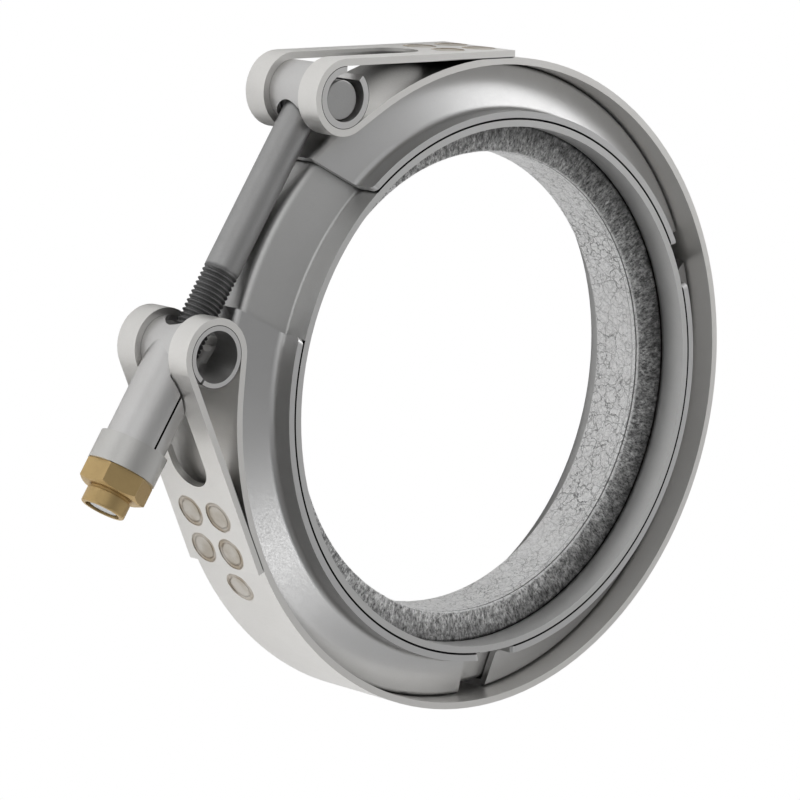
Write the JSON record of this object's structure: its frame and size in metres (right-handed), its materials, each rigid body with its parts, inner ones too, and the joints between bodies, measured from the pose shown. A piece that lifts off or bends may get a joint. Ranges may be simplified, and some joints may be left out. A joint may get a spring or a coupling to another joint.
{
  "type": "v band clamp",
  "caption": "Sheet metal V band clamp with a T bolt latch and a ring gasket, for joining two round pipe flanges end to end",
  "frame": {"origin": "centre of the gasket ring's bore, halfway through its width", "axes": "+Z along the ring's axis, out of the front face; the latch is on the -X side and its T bolt runs along Y, with the head towards +Y and the nut towards -Y"},
  "size_m": [0.1521, 0.1434, 0.0294],
  "materials": {
    "band_steel": "satin rolled stainless sheet",
    "retainer_steel": "satin pressed stainless sheet",
    "liner_steel": "satin pressed stainless sheet, a little darker",
    "gasket_foil": "bright crinkled foil face with dark crackle lines",
    "trunnion_steel": "satin rolled sheet",
    "bolt_steel": "plain steel with a dark thread",
    "collar_steel": "satin turned steel",
    "nut_plating": "yellow brown plating on steel"
  },
  "bodies": {
    "clamp_body": {"outer_band": "band_steel", "retainer_head_side": "retainer_steel", "retainer_nut_side": "retainer_steel", "retainer_far_side": "retainer_steel", "liner_ring": "liner_steel", "gasket_ring": "gasket_foil", "leg_trunnion": "trunnion_steel", "leg_collar": "collar_steel"},
    "head_tube": {"head_trunnion": "trunnion_steel"},
    "bolt": {"t_bolt": "bolt_steel"},
    "nut": {"lock_nut": "nut_plating"}
  },
  "joints": [
    {"name": "head_trunnion_turn", "type": "hinge", "parent": "clamp_body", "child": "head_tube", "pos_m": [-0.0723, 0.03084, 0], "axis": [0, 0, 1], "range_deg": [-8, 8]},
    {"name": "nut_spin", "type": "hinge", "parent": "clamp_body", "child": "nut", "pos_m": [-0.0723, 0, 0], "axis": [0, -1, 0], "range_deg": [0, 400]},
    {"name": "bolt_slide", "type": "slide", "parent": "clamp_body", "child": "bolt", "axis": [0, 1, 0], "range_m": [0, 0.00118]}
  ],
  "couplings": [
    {"joint": "bolt_slide", "follows": "nut_spin", "m_per_rad": 0.00016844}
  ]
}
